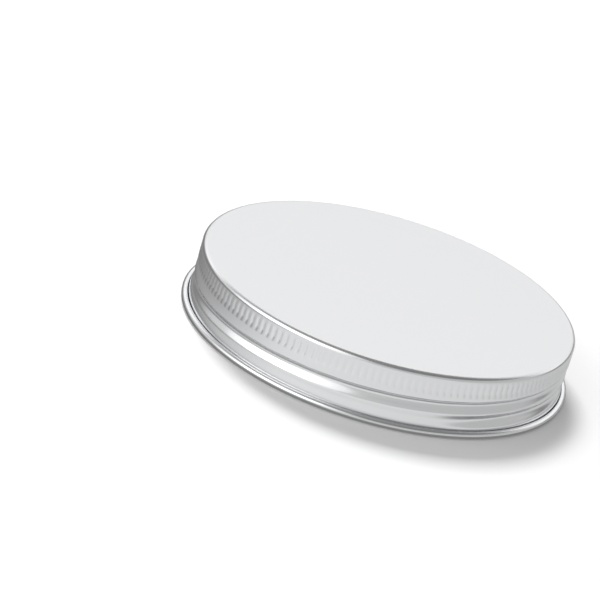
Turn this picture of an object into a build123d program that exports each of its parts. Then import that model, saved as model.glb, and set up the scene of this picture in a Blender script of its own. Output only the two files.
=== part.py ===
from build123d import *
from math import acos, ceil, cos, degrees, pi, radians, sin
import os

os.makedirs("parts", exist_ok=True)

# A shallow screw lid for a round tin, formed from one sheet of aluminium, in millimetres.
# The origin is the centre of the plane that the rim stands on, and +Z points out of the flat top.

# The sheet and the lid's main sizes
sheet = 0.35
band_radius = 41.5
lid_height = 13.5
corner_radius = 1.05

# The grip band: straight flutes pressed inwards all round, just under the corner
flute_count = 170
flute_length = 3.6
flute_width = 0.85
flute_depth = 0.22
flute_below_corner = 0.1

# The rolled thread: right-hand grooves that climb the wall and fade out at both ends
thread_starts = 2
thread_lead = 6.4
thread_depth = 0.7
thread_floor = 0.3
thread_upper_slope = 1.0
thread_lower_slope = 2.4
thread_turn = 225
thread_fade = 32
thread_first_height = 3.75
thread_first_angle = -65
thread_station_angle = 15

# The rim: the neck flares a little, then curls outwards until its edge nearly meets the wall
neck_flare = 0.35
flare_radius = 8.4
curl_radius = 0.8
curl_turn = 295

# Each bend of the sheet is drawn as short flats, whose corners lie on its arc
corner_flats = 3
flare_flats = 2
curl_flats_to_foot = 2
curl_flats_to_edge = 6

# How far a cutting form starts outside the face it cuts, and a joining form inside it
lift = 0.1

# Sizes that follow from those above
flare_angle = degrees(acos(1 - neck_flare / flare_radius))
curl_inside = curl_radius - sheet
curl_centre = band_radius + neck_flare + curl_inside * cos(radians(flare_angle))
flare_foot = curl_radius - curl_inside * sin(radians(flare_angle))
flare_top = flare_foot + flare_radius * sin(radians(flare_angle))
flute_bottom = lid_height - corner_radius - flute_below_corner - flute_length
flute_mouth = flute_width * (flute_depth + lift) / flute_depth
thread_span = thread_turn + 2 * thread_fade
thread_steps = ceil(thread_span / thread_station_angle)


def bend(centre, radius, start, turn, flats):
    """Points at even angles along an arc, from its start to its end."""
    angles = [radians(start + turn * step / flats) for step in range(flats + 1)]
    return [(centre[0] + radius * cos(angle), centre[1] + radius * sin(angle)) for angle in angles]


def sheet_face(depth):
    """Points along the sheet at a depth below its outer face, from the top's middle to the curl's edge."""
    corner = (band_radius - corner_radius, lid_height - corner_radius)
    flare = (band_radius + flare_radius, flare_top)
    curl = (curl_centre, curl_radius)
    return [
        (0, lid_height - depth),
        *bend(corner, corner_radius - depth, 90, -90, corner_flats),
        *bend(flare, flare_radius + depth, 180, flare_angle, flare_flats),
        *bend(curl, curl_inside + depth, 180 + flare_angle, 90 - flare_angle, curl_flats_to_foot)[1:],
        *bend(curl, curl_inside + depth, 270, curl_turn - 90 + flare_angle, curl_flats_to_edge)[1:],
    ]


def thread_section(angle, depth, back):
    """The thread's upright section: two flanks and a floor, pressed in from a face and open to the back."""
    run_in = min(angle, thread_turn - angle, 0) / thread_fade
    pressed = (thread_depth + lift) * (0.5 + 0.5 * cos(pi * run_in)) - lift
    bottom = band_radius - depth - pressed
    middle = thread_first_height + thread_lead * angle / 360
    upper_edge = middle + thread_floor / 2
    lower_edge = middle - thread_floor / 2
    with BuildSketch(Plane.XZ.rotated((0, 0, thread_first_angle + angle))) as section:
        with BuildLine():
            Polyline(
                (back, upper_edge + (back - bottom) * thread_upper_slope),
                (bottom, upper_edge),
                (bottom, lower_edge),
                (back, lower_edge - (back - bottom) * thread_lower_slope),
                close=True,
            )
        make_face()
    return section.sketch


thread_angles = [thread_span * step / thread_steps - thread_fade for step in range(thread_steps + 1)]

with BuildPart() as thread_groove:
    for angle in thread_angles:
        add(thread_section(angle, 0, band_radius + 5 * lift))
    loft()

with BuildPart() as thread_ridge:
    for angle in thread_angles:
        add(thread_section(angle, sheet, band_radius - sheet / 3))
    loft()

# One flute's cross-section: a shallow trough with sloped sides, whose mouth is a lift outside the face
with BuildSketch() as flute:
    with BuildLine():
        Polyline((lift, flute_mouth / 2), (-flute_depth, 0), (lift, -flute_mouth / 2), close=True)
    make_face()

# The grip band's section: each flute is a trough outside and a rib of the same form inside
with BuildSketch(Plane.XY.offset(flute_bottom)) as fluted_ring:
    Circle(band_radius)
    Circle(band_radius - sheet, mode=Mode.SUBTRACT)
    with PolarLocations(band_radius - sheet, flute_count):
        add(flute.sketch)
    with PolarLocations(band_radius, flute_count):
        add(flute.sketch, mode=Mode.SUBTRACT)

with BuildPart() as can_lid:
    with BuildSketch(Plane.XZ):
        with BuildLine():
            Polyline(*sheet_face(0), *reversed(sheet_face(sheet)), close=True)
        make_face()
    revolve(axis=Axis.Z)
    with PolarLocations(0, thread_starts):
        add(thread_ridge.part)
        add(thread_groove.part, mode=Mode.SUBTRACT)
    # The plain wall makes room for the fluted one
    with BuildSketch(Plane.XY.offset(flute_bottom)):
        Circle(band_radius + lift)
        Circle(band_radius - sheet - lift, mode=Mode.SUBTRACT)
    extrude(amount=flute_length, mode=Mode.SUBTRACT)
    extrude(fluted_ring.sketch, amount=flute_length)

can_lid.part.label = "can_lid"
export_step(can_lid.part, "parts/can_lid.step")
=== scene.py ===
from math import acos, cos, pi, radians, sin

import bpy
import numpy as np
from mathutils import Matrix, Vector


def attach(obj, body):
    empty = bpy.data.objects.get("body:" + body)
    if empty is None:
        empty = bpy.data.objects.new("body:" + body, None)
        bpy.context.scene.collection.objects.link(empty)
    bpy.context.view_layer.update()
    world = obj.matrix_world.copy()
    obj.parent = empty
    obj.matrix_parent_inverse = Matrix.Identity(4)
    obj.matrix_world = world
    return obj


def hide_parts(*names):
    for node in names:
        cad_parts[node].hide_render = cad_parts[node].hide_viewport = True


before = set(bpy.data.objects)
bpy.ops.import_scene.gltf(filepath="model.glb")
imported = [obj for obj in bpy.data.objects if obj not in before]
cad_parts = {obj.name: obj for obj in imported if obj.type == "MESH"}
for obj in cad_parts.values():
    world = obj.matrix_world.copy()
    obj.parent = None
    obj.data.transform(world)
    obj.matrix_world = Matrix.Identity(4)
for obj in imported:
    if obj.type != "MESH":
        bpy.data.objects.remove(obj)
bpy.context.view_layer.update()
mm = 0.001

# the lid's own sizes, in millimetres and degrees
lid = {
    "height": 13.5,
    "bandRadius": 41.5,
    "cornerRadius": 1.0,
    "sheet": 0.35,
    "fluteCount": 170,
    "fluteTop": 12.35,
    "fluteLength": 3.6,
    "fluteDepth": 0.19,
    "fluteShare": 0.9,          # of the pitch is trough, the rest is land
    "fluteRunIn": 1.0,          # over which a flute deepens at its top
    "fluteRunOut": 1.1,         # and at its foot
    "threadStarts": 2,
    "threadLead": 6.4,
    "threadDepth": 0.7,
    "threadUpper": 1.1,         # from the groove's floor up to its lip
    "threadLower": 2.2,         # and down to where the wall is plain again
    "threadTurn": 200,          # at full depth
    "threadFade": 30,           # before and after it
    "threadHeight": 4.14,       # of the groove's floor where the full depth begins
    "threadAngle": -40,         # of that place, from +X
    "neckSwell": 0.2,           # the neck is this much wider than the band
    "neckSwellTop": 3.8,
    "neckSwellFoot": 1.7,
    "neckFlare": 0.205,         # out to where the curl begins
    "flareRadius": 1.2,
    "curlRadius": 0.783,
    "curlTurn": 258,
    "panelRings": [5, 16, 28, 36, 39.4],
    "plainSegments": 340,       # round the lid where nothing is fluted
    "fluteSegments": 10,        # across one flute
}


def makeCamera():
    # the camera looks at the rim's centre, rolls, and turns until that centre is off the picture's middle
    view = {
        "elevation": 23.07,
        "roll": 17.24,
        "distance": 0.6918,
        "lens": 192.06,
        "filmWidth": 36,
        "pictureSize": 600,
        "centreX": 373.65,       # where the rim's centre is in the picture
        "centreY": 340.78,
    }
    data = bpy.data.cameras.new("lidCamera")
    data.sensor_width = view["filmWidth"]
    data.lens = view["lens"]
    data.clip_start, data.clip_end = 0.05, 20
    camera = bpy.data.objects.new("lidCamera", data)
    bpy.context.collection.objects.link(camera)
    tilt = radians(view["elevation"])
    back = Vector((0, -cos(tilt), sin(tilt)))
    look = back.to_track_quat("Z", "Y").to_matrix()
    half = view["pictureSize"] / 2
    focal = view["lens"] / data.sensor_width * view["pictureSize"]
    toCentre = Vector(((view["centreX"] - half) / focal, (half - view["centreY"]) / focal, -1))
    turn = Vector((0, 0, -1)).rotation_difference(toCentre).to_matrix()
    aim = look @ Matrix.Rotation(radians(view["roll"]), 3, "Z") @ turn.inverted()
    camera.matrix_world = Matrix.Translation(back * view["distance"]) @ aim.to_4x4()
    bpy.context.scene.camera = camera
    print("camera placed")


class Wire:
    # a socket that can be written into sums: each sum adds one Math node
    def __init__(self, tree, socket):
        self.tree = tree
        self.socket = socket

    def sum(self, operation, *terms):
        return node(self.tree, "ShaderNodeMath", {"operation": operation}, dict(enumerate(terms)))

    def __add__(self, other):
        return self.sum("ADD", self, other)

    def __sub__(self, other):
        return self.sum("SUBTRACT", self, other)

    def __mul__(self, other):
        return self.sum("MULTIPLY", self, other)

    def __rsub__(self, other):
        return self.sum("SUBTRACT", other, self)

    __radd__ = __add__
    __rmul__ = __mul__


def node(tree, kind, settings=None, values=None, output=0):
    # any node: its settings first, then what each socket holds or is linked to
    made = tree.nodes.new(kind)
    for name, value in (settings or {}).items():
        setattr(made, name, value)
    for name, value in (values or {}).items():
        if isinstance(value, Wire):
            tree.links.new(value.socket, made.inputs[name])
        else:
            made.inputs[name].default_value = value
    return Wire(tree, made.outputs[output]) if made.outputs else made


def ramp(tree, value, fromLow, fromHigh, toLow=0.0, toHigh=1.0):
    # a soft step from one value to another
    settings = {"interpolation_type": "SMOOTHSTEP"}
    values = {"Value": value, "From Min": fromLow, "From Max": fromHigh, "To Min": toLow, "To Max": toHigh}
    return node(tree, "ShaderNodeMapRange", settings, values)


def newTree(owner):
    owner.use_nodes = True
    owner.node_tree.nodes.clear()
    return owner.node_tree


def satinAluminium():
    finish = {
        "colour": (0.86, 0.865, 0.875, 1),
        "panelRoughness": 0.34,
        "wallRoughness": 0.2,
        "grainRoughness": 0.06,  # how far the grain changes it
        "grainSize": 0.35 * mm,
        "grainDepth": 0.004 * mm,
        "panelFrom": 0.3 * mm,   # below the top, where the panel's finish begins
        "panelTo": 0.02 * mm,
    }
    material = bpy.data.materials.new("satinAluminium")
    tree = newTree(material)
    place = node(tree, "ShaderNodeTexCoord", output=3)
    height = node(tree, "ShaderNodeSeparateXYZ", values={0: place}, output=2)
    top = lid["height"] * mm
    onTop = ramp(tree, height, top - finish["panelFrom"], top - finish["panelTo"])
    grain = node(tree, "ShaderNodeTexNoise", values={
        "Vector": place,
        "Scale": 1 / finish["grainSize"],
        "Detail": 3.0,
    })
    rough = finish["wallRoughness"] + (finish["panelRoughness"] - finish["wallRoughness"]) * onTop
    rough = rough + (grain - 0.5) * finish["grainRoughness"]
    bump = node(tree, "ShaderNodeBump", values={"Distance": finish["grainDepth"], "Height": grain})
    shader = node(tree, "ShaderNodeBsdfPrincipled", values={
        "Base Color": finish["colour"],
        "Metallic": 1.0,
        "Roughness": rough,
        "Normal": bump,
    })
    node(tree, "ShaderNodeOutputMaterial", values={"Surface": shader})
    return material


def softClamp(value):
    # a straight rise from 0 to 1 with rounded ends: half of 1 + |value| - |value - 1|, each bar a hyperbola
    soft = 0.05
    return 0.5 * (1 + np.sqrt(value ** 2 + soft ** 2) - np.sqrt((value - 1) ** 2 + soft ** 2))


def pressedIn(angle, height):
    # how far the wall is pressed towards the axis, in millimetres, at an angle in radians and a height:
    # each flute is a raised cosine across its trough, faded at both ends, and each thread groove is a raised
    # cosine down from its lip and a longer one back out below, along a helix, faded at both ends
    pitch = 2 * pi / lid["fluteCount"]
    across = (angle / pitch + 0.5) % 1 - 0.5
    trough = np.clip(across / (lid["fluteShare"] / 2), -1, 1)
    upper = softClamp((lid["fluteTop"] - height) / lid["fluteRunIn"])
    lower = softClamp((height - lid["fluteTop"] + lid["fluteLength"]) / lid["fluteRunOut"])
    ends = upper * lower
    pressed = lid["fluteDepth"] * ends * (0.5 + 0.5 * np.cos(pi * trough))
    wholeTurn = 360 / lid["threadStarts"]
    for start in range(lid["threadStarts"]):
        fromStart = np.degrees(angle) - lid["threadAngle"] - start * wholeTurn
        fromStart = (fromStart + lid["threadFade"]) % 360 - lid["threadFade"]
        runIn = np.minimum(np.minimum(fromStart, lid["threadTurn"] - fromStart), 0) / lid["threadFade"]
        fade = 0.5 + 0.5 * np.cos(pi * np.clip(runIn, -1, 0))
        away = height - lid["threadHeight"] - lid["threadLead"] * fromStart / 360
        away = np.where(away > 0, away / lid["threadUpper"], away / lid["threadLower"])
        groove = lid["threadDepth"] * fade * (0.5 + 0.5 * np.cos(pi * np.clip(away, -1, 1)))
        pressed = np.maximum(pressed, groove)
    return pressed


def sheetRows():
    # rows down the outer face of the sheet, round its cut edge and back up the inner face: for each row the
    # radius, the height, the way along the section and how many segments it has round the lid
    coarse = lid["plainSegments"]
    fine = lid["fluteSegments"] * lid["fluteCount"]
    cornerRadius, curlRadius, flareRadius = lid["cornerRadius"], lid["curlRadius"], lid["flareRadius"]
    band = lid["bandRadius"]
    cornerFoot = lid["height"] - cornerRadius
    flareAngle = acos(1 - lid["neckFlare"] / flareRadius)
    curlInside = curlRadius - lid["sheet"]
    neck = band + lid["neckSwell"]
    curlCentre = neck + lid["neckFlare"] + curlInside * cos(flareAngle)
    flareTop = curlRadius - curlInside * sin(flareAngle) + flareRadius * sin(flareAngle)
    fluteFoot = lid["fluteTop"] - lid["fluteLength"]
    above, below, halfway = 0.06, 0.1, 10.6      # rows past a flute's ends, and one in its middle
    wallTop = fluteFoot - 0.16

    def arc(centreR, centreZ, radius, angles, direction, count):
        # a row for each angle on an arc, with the way along it
        r = centreR + radius * np.cos(angles)
        z = centreZ + radius * np.sin(angles)
        return np.stack([r, z, -direction * np.sin(angles), direction * np.cos(angles), 0 * r + count], 1)

    def straight(r, z, along, count):
        r, z = np.broadcast_arrays(np.asarray(r, float), np.asarray(z, float))
        return np.stack([r, z, 0 * r + along[0], 0 * r + along[1], 0 * r + count], 1)

    def face(depth, steps):
        # the rows of one face, at a depth below the outer one
        top = straight(lid["panelRings"], lid["height"] - depth, (1, 0), coarse)
        bend = np.linspace(pi / 2, 0, steps["corner"])
        corner = arc(band - cornerRadius, cornerFoot, cornerRadius - depth, bend, -1, coarse)
        start = lid["fluteTop"] + above - (lid["fluteRunIn"] + 2 * above) * np.linspace(0, 1, 6)
        end = fluteFoot - below + (lid["fluteRunOut"] + 2 * below) * np.linspace(1, 0, 6)
        flutes = np.concatenate([start, [halfway], end])
        grip = straight(band - depth, flutes, (0, -1), fine)
        z = np.linspace(wallTop, flareTop, steps["thread"])
        swell = np.clip((lid["neckSwellTop"] - z) / (lid["neckSwellTop"] - lid["neckSwellFoot"]), 0, 1)
        swell = lid["neckSwell"] * swell * swell * (3 - 2 * swell)
        slope = np.gradient(swell, z)
        along = np.stack([-slope, -1 + 0 * z], 1) / np.hypot(slope, 1)[:, None]
        plain = np.column_stack([band - depth + swell, z, along, 0 * z + coarse])
        bend = pi + np.linspace(0, flareAngle, steps["flare"])[1:]
        flare = arc(neck + flareRadius, flareTop, flareRadius + depth, bend, 1, coarse)
        bend = pi + flareAngle + radians(lid["curlTurn"]) * np.linspace(0, 1, steps["curl"])[1:]
        curl = arc(curlCentre, curlRadius, curlInside + depth, bend, 1, coarse)
        return np.concatenate([top, corner, grip, plain, flare, curl])

    outer = face(0, {"corner": 9, "thread": 34, "flare": 8, "curl": 24})
    inner = face(lid["sheet"], {"corner": 6, "thread": 30, "flare": 6, "curl": 24})[::-1]
    inner[:, 2:4] *= -1
    # the cut edge is a half round between the two faces
    last = outer[-1]
    side = np.array([-last[3], last[2]])      # from the outer face's end towards the inner face's
    middle = last[:2] - side * lid["sheet"] / 2
    turn = np.linspace(0, pi, 6)[1:-1]
    way = last[2:4]
    edge = middle + lid["sheet"] / 2 * (np.cos(turn)[:, None] * side + np.sin(turn)[:, None] * way)
    along = -np.sin(turn)[:, None] * side + np.cos(turn)[:, None] * way
    edge = np.concatenate([edge, along, np.full((len(turn), 1), coarse)], 1)
    return np.concatenate([outer, edge, inner])


def shellPoints(rows):
    # a point for each segment of each row, and the face's direction there: the row's radius less what is
    # pressed in, carried round the axis; the direction is the cross product of the two slopes
    points, normals = [], []
    small = 1e-4
    wallFoot, wallTop = 1.3, lid["fluteTop"] + 0.09
    for r, z, alongR, alongZ, count in rows:
        angle = 2 * pi * np.arange(int(count)) / count
        onWall = abs(r - lid["bandRadius"]) < 2 * lid["sheet"] and wallFoot < z < wallTop
        pressed = slopeRound = slopeUp = 0 * angle
        if onWall:
            pressed = pressedIn(angle, z)
            slopeRound = (pressedIn(angle + small, z) - pressedIn(angle - small, z)) / (2 * small)
            slopeUp = (pressedIn(angle, z + small) - pressedIn(angle, z - small)) / (2 * small)
        radius = r - pressed
        outR, outZ = -radius * alongZ, radius * (alongR - slopeUp * alongZ)
        outSide = -slopeRound * alongZ
        c, s = np.cos(angle), np.sin(angle)
        points.append(np.stack([radius * c, radius * s, 0 * angle + z], 1))
        direction = np.stack([outR * c - outSide * s, outR * s + outSide * c, outZ], 1)
        normals.append(direction / np.linalg.norm(direction, axis=1)[:, None])
    return points, normals


def shellFaces(counts):
    # quads between rows with as many segments; where a row has more, each of its segments is a triangle and
    # each segment of the sparse row one more; the first and last rows close to a point
    starts = 1 + np.concatenate([[0], np.cumsum(counts)])
    faces = []
    for row in range(len(counts) - 1):
        a, b = counts[row], counts[row + 1]
        p, q = starts[row], starts[row + 1]
        if a == b:
            j = np.arange(a)
            k = (j + 1) % a
            faces += np.stack([p + j, q + j, q + k, p + k], 1).tolist()
            continue
        few, many = min(a, b), max(a, b)
        ratio = many // few
        half = (ratio + 1) // 2
        j = np.arange(few)
        k = (j + 1) % few
        sparse, dense = (p, q) if a < b else (q, p)
        fans = []
        for step in range(ratio):
            near = j if step < half else k
            first = dense + (j * ratio + step) % many
            second = dense + (j * ratio + step + 1) % many
            fans.append(np.stack([sparse + near, first, second], 1))
        fans.append(np.stack([sparse + j, dense + (j * ratio + half) % many, sparse + k], 1))
        fans = np.concatenate(fans)
        faces += (fans if a < b else fans[:, ::-1]).tolist()
    for pole, row, inward in ((0, 0, False), (starts[-1], len(counts) - 1, True)):
        j = starts[row] + np.arange(counts[row])
        k = np.roll(j, -1)
        fan = np.stack([0 * j + pole, k, j] if inward else [0 * j + pole, j, k], 1)
        faces += fan.tolist()
    return faces


def makeShell(material):
    rows = sheetRows()
    points, normals = shellPoints(rows)
    counts = rows[:, 4].astype(int)
    top, under = lid["height"], lid["height"] - lid["sheet"]
    points = np.concatenate([[(0, 0, top)], *points, [(0, 0, under)]]) * mm
    normals = np.concatenate([[(0, 0, 1)], *normals, [(0, 0, -1)]])
    mesh = bpy.data.meshes.new("lidShell")
    mesh.from_pydata(points.tolist(), [], shellFaces(counts))
    mesh.polygons.foreach_set("use_smooth", np.ones(len(mesh.polygons), bool))
    mesh.normals_split_custom_set_from_vertices(normals.tolist())
    mesh.materials.append(material)
    shell = bpy.data.objects.new("lidShell", mesh)
    bpy.context.collection.objects.link(shell)
    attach(shell, "root")
    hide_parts("can_lid")
    triangles = sum(len(face.vertices) - 2 for face in mesh.polygons)
    print("shell made,", triangles, "triangles")


def makeFloor():
    stage = {
        "size": 6.0,
        "colour": 0.82,
        "lift": 0.05,            # light of its own for the camera, so that the open floor is white
        "mirrorTone": 0.83,      # painted reflection: the tone the floor glows with in reflections, where lamps don't light it
        "mirrorLeft": 0.25,      # what of that is left behind the lid on its left, a painted dark reflection
        "mirrorRight": 0.8,      # behind it on its right, painted shade
        "mirrorAcross": 0.85,    # on the right of it, where the left keeps all, painted shade
        "mirrorFootShade": 0.3,       # and at its foot, a painted contact shadow
        "left": (-5 * mm, 70 * mm),       # from where to where each of these comes on
        "right": (10 * mm, 60 * mm),
        "across": (-60 * mm, 90 * mm),
        "footShade": (51 * mm, 43 * mm),
    }
    half = stage["size"] / 2
    mesh = bpy.data.meshes.new("studioFloor")
    corners = [(-half, -half, 0), (half, -half, 0), (half, half, 0), (-half, half, 0)]
    mesh.from_pydata(corners, [], [(0, 1, 2, 3)])
    material = bpy.data.materials.new("studioFloor")
    tree = newTree(material)
    seenByCamera = node(tree, "ShaderNodeLightPath", output=0)
    seenInGloss = node(tree, "ShaderNodeLightPath", output=3)
    place = node(tree, "ShaderNodeTexCoord", output=3)
    x = node(tree, "ShaderNodeSeparateXYZ", values={0: place}, output=0)
    y = node(tree, "ShaderNodeSeparateXYZ", values={0: place}, output=1)
    out = node(tree, "ShaderNodeVectorMath", {"operation": "LENGTH"}, {0: place}, output=1)
    # in reflections the floor is not lit but glows with a painted tone: darker behind the lid on its left (a
    # painted dark reflection), darker behind it on its right and towards its right (painted shade), and
    # darker at its foot (a painted contact shadow)
    behindLeft = ramp(tree, y * 0.5 - x * 0.9, *stage["left"])
    behindRight = ramp(tree, y * 0.5 + x * 0.9, *stage["right"])
    across = ramp(tree, x, *stage["across"])
    footShade = ramp(tree, out, *stage["footShade"])
    mirrored = stage["mirrorTone"] * (1 - behindLeft * (1 - stage["mirrorLeft"]))
    mirrored = mirrored * (1 - behindRight * (1 - stage["mirrorRight"]))
    mirrored = mirrored * (1 - across * (1 - stage["mirrorAcross"]))
    mirrored = mirrored * (1 - footShade * (1 - stage["mirrorFootShade"]))
    # the camera sees the lamp-lit floor plus its lift; reflections see no colour, only the painted tone as
    # glow
    colour = (1 - seenInGloss) * stage["colour"]
    light = seenByCamera * stage["lift"] + seenInGloss * mirrored
    shader = node(tree, "ShaderNodeBsdfPrincipled", values={
        "Base Color": node(tree, "ShaderNodeCombineColor", values={0: colour, 1: colour, 2: colour}),
        "Roughness": 0.9,
        "Specular IOR Level": 0.1,
        "Emission Color": node(tree, "ShaderNodeCombineColor", values={0: light, 1: light, 2: light}),
        "Emission Strength": 1.0,
    })
    node(tree, "ShaderNodeOutputMaterial", values={"Surface": shader})
    mesh.materials.append(material)
    floor = bpy.data.objects.new("studioFloor", mesh)
    bpy.context.collection.objects.link(floor)
    print("floor laid")


def makeSoftbox(name, azimuth, elevation, distance, size, radiance, mirrored=True):
    # a soft lamp seen from the lid at an azimuth (0 towards the camera, growing to its right) and elevation
    data = bpy.data.lights.new(name, "AREA")
    data.shape = "RECTANGLE"
    data.size, data.size_y = size
    data.energy = radiance * pi * size[0] * size[1]
    lamp = bpy.data.objects.new(name, data)
    side, up = radians(azimuth), radians(elevation)
    place = Vector((sin(side) * cos(up), -cos(side) * cos(up), sin(up)))
    lamp.location = place * distance
    lamp.rotation_euler = place.to_track_quat("Z", "Y").to_euler()
    lamp.visible_glossy = mirrored
    bpy.context.collection.objects.link(lamp)


def makeWorld():
    studio = {
        "ceiling": 0.25,
        "backdrop": 1.09,
        "front": 0.6,
        "sideFall": 0.08,        # how much less there is on the right than in the middle
    }
    world = bpy.data.worlds.new("studio")
    bpy.context.scene.world = world
    tree = newTree(world)
    seenByCamera = node(tree, "ShaderNodeLightPath", output=0)
    around = node(tree, "ShaderNodeTexCoord", output=0)
    x = node(tree, "ShaderNodeSeparateXYZ", values={0: around}, output=0)
    y = node(tree, "ShaderNodeSeparateXYZ", values={0: around}, output=1)
    z = node(tree, "ShaderNodeSeparateXYZ", values={0: around}, output=2)
    behind = ramp(tree, y, 0.25, 0.65)
    backdrop = ramp(tree, z, 0.12, 0.3) * ramp(tree, z, 0.85, 0.62)
    front = ramp(tree, z, 0.7, 0.45)
    grey = studio["ceiling"] - x * studio["sideFall"]
    grey = grey + (studio["backdrop"] - studio["ceiling"]) * backdrop * behind
    grey = grey + (studio["front"] - studio["ceiling"]) * front * (1 - behind)
    strength = grey * (1 - seenByCamera) + seenByCamera
    background = node(tree, "ShaderNodeBackground", values={"Color": (1, 1, 1, 1), "Strength": strength})
    node(tree, "ShaderNodeOutputWorld", values={"Surface": background})
    print("studio lit")


bpy.context.scene.view_settings.view_transform = "Standard"
makeCamera()
makeShell(satinAluminium())
makeFloor()
makeSoftbox("frontSoftbox", -50, 32, 0.8, (0.75, 0.75), 0.7)
makeSoftbox("frontWash", -50, 32, 0.85, (1.4, 0.95), 0.45)
makeSoftbox("keyLamp", -155, 48, 2.0, (0.6, 0.6), 31, mirrored=False)
makeWorld()
